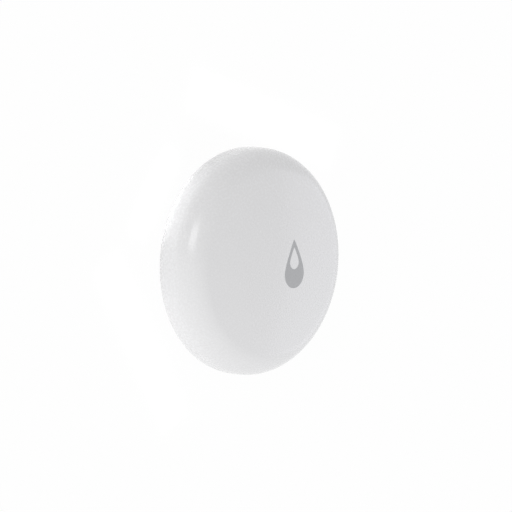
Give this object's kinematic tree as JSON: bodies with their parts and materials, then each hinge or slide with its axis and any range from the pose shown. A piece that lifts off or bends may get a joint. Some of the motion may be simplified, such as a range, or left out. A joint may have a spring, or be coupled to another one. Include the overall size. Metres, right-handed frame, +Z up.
{
  "type": "water leak sensor",
  "caption": "Low domed round white sensor that lies on a floor, with a drop sign on its push-button top, probe screws underneath and a twist-off battery cover.",
  "frame": {"origin": "under the middle of the body, on the floor that the feet and probes stand on", "axes": "+Z is up along the dome's axis, +Y is the upright of the drop sign, +X is the sign's right"},
  "size_m": [0.05, 0.05, 0.015],
  "materials": {
    "shell": "satin to gloss moulded white",
    "base": "fine matt moulded white",
    "seal": "matt grey silicone",
    "cell_steel": "nickel-plated steel",
    "spring_bronze": "bare spring bronze",
    "board": "green solder mask",
    "screw_steel": "zinc-plated steel",
    "probe_steel": "bright stainless steel",
    "terminal_brass": "turned brass",
    "switch_plastic": "black moulded nylon",
    "stem_plastic": "pale moulded nylon",
    "guide_plastic": "white moulded",
    "silicone": "milky translucent silicone",
    "lamp": "clear resin",
    "chip": "black moulded resin",
    "crystal_can": "plain metal can",
    "copper": "gold-plated copper track",
    "ceramic": "tan ceramic"
  },
  "bodies": {
    "housing": {"top_shell": "shell", "bottom_shell": "base", "shell_seal": "seal", "coin_cell": "cell_steel", "battery_contact_minus": "spring_bronze", "battery_contact_plus": "spring_bronze", "circuit_board": "board", "board_screws": "screw_steel", "probe_screws": "probe_steel", "probe_seals": "seal", "probe_terminals": "terminal_brass", "tact_switch": "switch_plastic", "plunger_guide": "guide_plastic", "status_led": "lamp", "radio_chip": "chip", "crystal": "crystal_can", "board_antenna": "copper", "chip_capacitors": "ceramic", "chip_resistors": "chip"},
    "battery_cover": {"battery_cover": "base", "cover_seal": "seal"},
    "button": {"button_plunger": "silicone", "tact_stem": "stem_plastic"}
  },
  "joints": [
    {"name": "cover_turn", "type": "hinge", "parent": "housing", "child": "battery_cover", "pos_m": [0, 0, 0.0014], "axis": [0, 0, -1], "range_deg": [0, 35]},
    {"name": "button_press", "type": "slide", "parent": "housing", "child": "button", "axis": [0, 0, -1], "range_m": [0, 0.00025], "stiffness_N_per_m": 2000}
  ]
}
